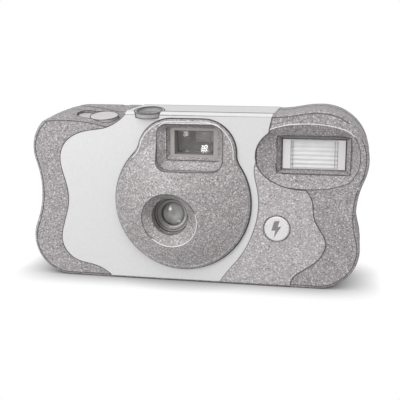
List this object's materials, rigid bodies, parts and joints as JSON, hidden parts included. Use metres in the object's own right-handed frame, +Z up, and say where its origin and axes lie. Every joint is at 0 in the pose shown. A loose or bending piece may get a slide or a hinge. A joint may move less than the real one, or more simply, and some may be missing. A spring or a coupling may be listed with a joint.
{
  "type": "disposable film camera",
  "caption": "Pocket film camera loaded and used once, with moulded covers, a built-in flash, a plastic lens, a thumbwheel winder and a counter window.",
  "frame": {"origin": "on the flat base that the camera stands on, midway between its front and back faces, and about midway along its length", "axes": "+X to the right as seen from the front, along the length; +Y backwards, towards the eye; +Z up; the lens looks along -Y"},
  "size_m": [0.1178, 0.035, 0.0611],
  "materials": {
    "grey_plastic": "stippled",
    "lens_cover_plastic": "stippled",
    "pale_plastic": "satin",
    "label_card": "printed, satin",
    "black_plastic": "matte",
    "ring_plastic": "satin",
    "tunnel_plastic": "moulded, matte",
    "clear_plastic": "clear",
    "flash_glass": "ribbed, clear",
    "lamp_plastic": "clear orange",
    "steel": "satin",
    "blade_metal": "matte black",
    "bright_metal": "polished",
    "can_metal": "satin",
    "film_base": "semi-gloss",
    "dial_plastic": "printed numbers",
    "board_laminate": "semi-gloss",
    "capacitor_sleeve": "gloss sleeve",
    "coil_wrap": "taped",
    "cell_sleeve": "satin sleeve"
  },
  "bodies": {
    "body": {"front_cover": "grey_plastic", "rear_cover": "grey_plastic", "label_wrap": "label_card", "lens_cover": "lens_cover_plastic", "lens_retainer": "ring_plastic", "front_lens": "clear_plastic", "shutter_plate": "black_plastic", "blade_spring": "steel", "main_frame": "black_plastic", "lever_spring": "steel", "viewfinder_tube": "tunnel_plastic", "viewfinder_front_lens": "clear_plastic", "viewfinder_eyepiece": "clear_plastic", "counter_bezel": "pale_plastic", "counter_lens": "clear_plastic", "cassette_can": "can_metal", "cassette_caps": "can_metal", "film_strip": "film_base", "flash_window": "flash_glass", "flash_reflector": "bright_metal", "xenon_tube": "flash_glass", "charge_contact": "steel", "circuit_board": "board_laminate", "capacitor": "capacitor_sleeve", "transformer": "coil_wrap", "trigger_coil": "coil_wrap", "battery": "cell_sleeve", "battery_contact_top": "steel", "battery_contact_bottom": "steel", "ready_lamp": "lamp_plastic"},
    "shutter_button": {"shutter_button": "pale_plastic"},
    "charge_button": {"charge_button": "pale_plastic"},
    "thumbwheel": {"thumbwheel": "black_plastic", "cassette_spool": "black_plastic"},
    "sprocket": {"sprocket_wheel": "black_plastic"},
    "supply": {"supply_spool": "black_plastic", "supply_film_roll": "film_base"},
    "counter": {"counter_dial": "dial_plastic"},
    "blade": {"shutter_blade": "blade_metal"},
    "striker": {"high_energy_lever": "black_plastic"},
    "pawl": {"ratchet_pawl": "black_plastic"},
    "film_door": {"film_door": "grey_plastic"},
    "battery_door": {"battery_door": "grey_plastic"}
  },
  "joints": [
    {"name": "shutter_button_press", "type": "hinge", "parent": "body", "child": "shutter_button", "pos_m": [-0.0436, -0.0054, 0.0564], "axis": [0, 0.9781, 0.2079], "range_deg": [0, 4.5], "stiffness_Nm_per_rad": 0.6},
    {"name": "charge_button_press", "type": "slide", "parent": "body", "child": "charge_button", "axis": [0, 1, 0], "range_m": [0, 0.0008], "stiffness_N_per_m": 800},
    {"name": "thumbwheel_spin", "type": "hinge", "parent": "body", "child": "thumbwheel", "pos_m": [-0.0388, 0.0002, 0.0493], "axis": [0, 0, 1], "continuous": true},
    {"name": "sprocket_spin", "type": "hinge", "parent": "body", "child": "sprocket", "pos_m": [-0.0185, 0.0043, 0.0391], "axis": [0, 0, 1], "continuous": true},
    {"name": "supply_spin", "type": "hinge", "parent": "body", "child": "supply", "pos_m": [0.0216, 0.0017, 0.024], "axis": [0, 0, 1], "continuous": true},
    {"name": "counter_spin", "type": "hinge", "parent": "body", "child": "counter", "pos_m": [-0.0176, -0.0065, 0.057], "axis": [0, 0, 1], "continuous": true},
    {"name": "shutter_blade_swing", "type": "hinge", "parent": "body", "child": "blade", "pos_m": [-0.002, -0.0075, 0.0296], "axis": [0, 1, 0], "range_deg": [0, 35], "stiffness_Nm_per_rad": 0.0002},
    {"name": "high_energy_lever_swing", "type": "hinge", "parent": "body", "child": "striker", "pos_m": [-0.0125, 0.0015, 0.0448], "axis": [0, 0, 1], "range_deg": [-20, 0], "stiffness_Nm_per_rad": 0.0005},
    {"name": "ratchet_pawl_swing", "type": "hinge", "parent": "body", "child": "pawl", "pos_m": [-0.0282, -0.0096, 0.0464], "axis": [0, 0, 1], "range_deg": [0, 8], "stiffness_Nm_per_rad": 0.0005},
    {"name": "film_door_hinge", "type": "hinge", "parent": "body", "child": "film_door", "pos_m": [-0.0262, 0, 0.0006], "axis": [0, -1, 0], "range_deg": [0, 100]},
    {"name": "battery_door_hinge", "type": "hinge", "parent": "body", "child": "battery_door", "pos_m": [0.0354, 0, 0.0006], "axis": [0, 1, 0], "range_deg": [0, 100]}
  ],
  "couplings": [
    {"joint": "sprocket_spin", "follows": "thumbwheel_spin", "ratio": 1.322},
    {"joint": "supply_spin", "follows": "thumbwheel_spin", "ratio": 0.952},
    {"joint": "counter_spin", "follows": "thumbwheel_spin", "ratio": -0.0441}
  ]
}
